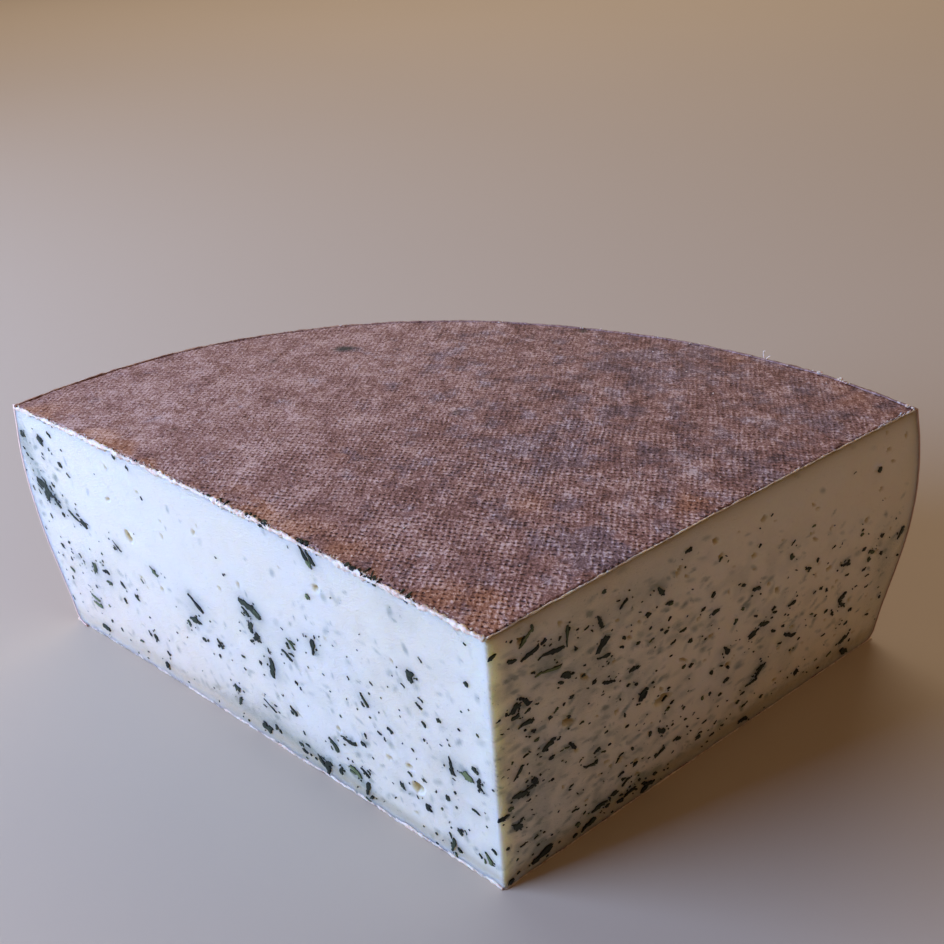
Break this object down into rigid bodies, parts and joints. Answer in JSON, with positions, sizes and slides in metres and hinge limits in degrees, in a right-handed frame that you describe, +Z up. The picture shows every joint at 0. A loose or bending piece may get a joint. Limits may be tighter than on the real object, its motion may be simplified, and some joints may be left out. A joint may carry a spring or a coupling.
{
  "type": "cheese wedge",
  "caption": "Wedge of washed-rind raclette cheese: brown rind with a cloth print, barrel-shaped rim, pale cut faces flecked with wild garlic.",
  "frame": {"origin": "middle of the wedge's footprint box, at the level of the foot it stands on", "axes": "+Z up out of the foot, +Y from the wedge's tip towards its rim, +X across the wedge, with the longer cut on the -X side"},
  "size_m": [0.243, 0.1536, 0.0792],
  "materials": {
    "paste": "smooth, slightly waxy cut paste",
    "rind": "dull brown rind with a cloth print",
    "herb": "dark green chopped leaf, half matt"
  },
  "bodies": {
    "root": {"cheese_wedge": "paste"}
  },
  "joints": []
}
